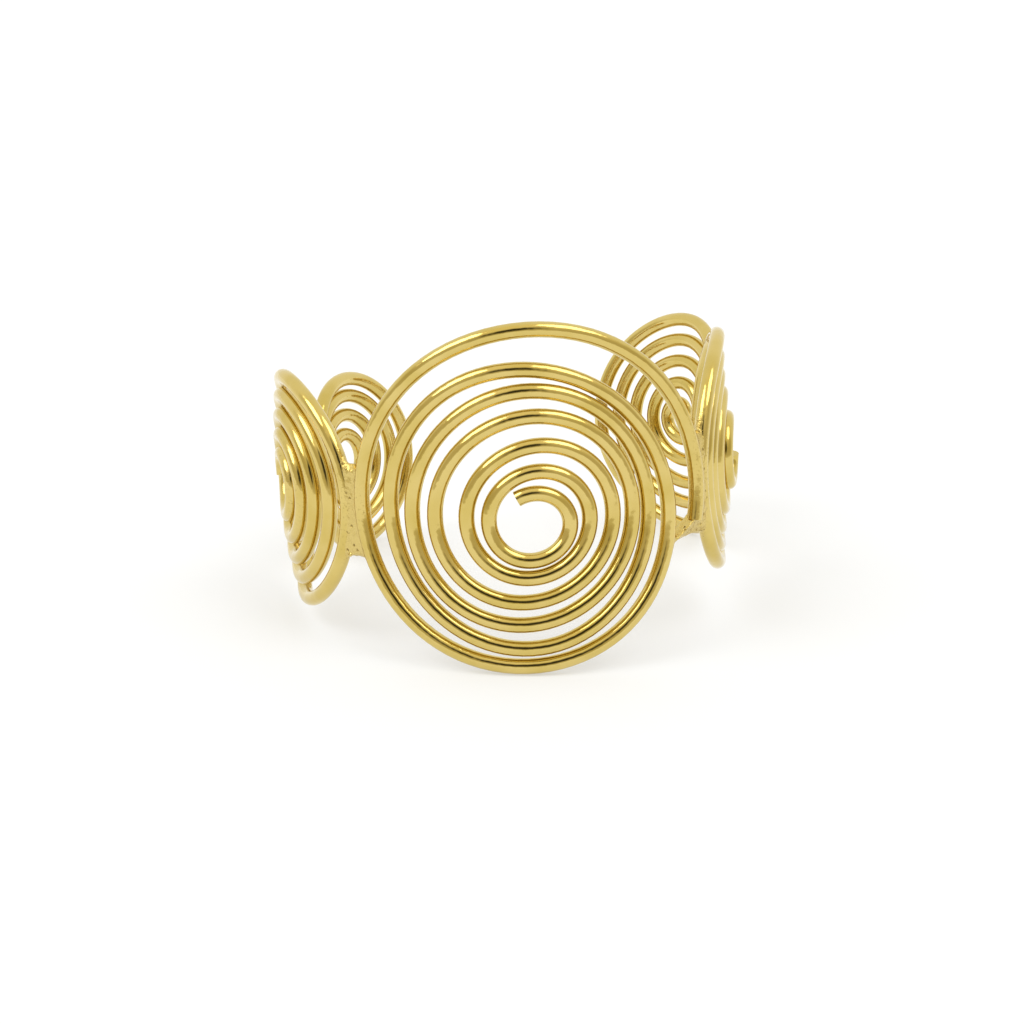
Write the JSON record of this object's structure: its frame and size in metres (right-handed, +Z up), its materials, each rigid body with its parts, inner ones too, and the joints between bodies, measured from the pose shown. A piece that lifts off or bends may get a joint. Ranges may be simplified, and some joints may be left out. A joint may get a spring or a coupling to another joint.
{
  "type": "swirl bangle",
  "caption": "Open cuff bangle of flat spiral discs wound from round wire, domed, bent round the wrist and soldered edge to edge.",
  "frame": {"origin": "on the surface it rests on, under the middle of its box", "axes": "+Z up out of the surface, -Y to the largest swirl at the front, +Y to the opening at the back, +X to the wearer's left as seen from the front"},
  "size_m": [0.0626, 0.0734, 0.044],
  "materials": {
    "gold_plated_brass": "drawn brass wire, plated pale yellow gold and polished, with rough solder at the joints"
  },
  "bodies": {
    "root": {"swirl_bangle": "gold_plated_brass"}
  },
  "joints": []
}
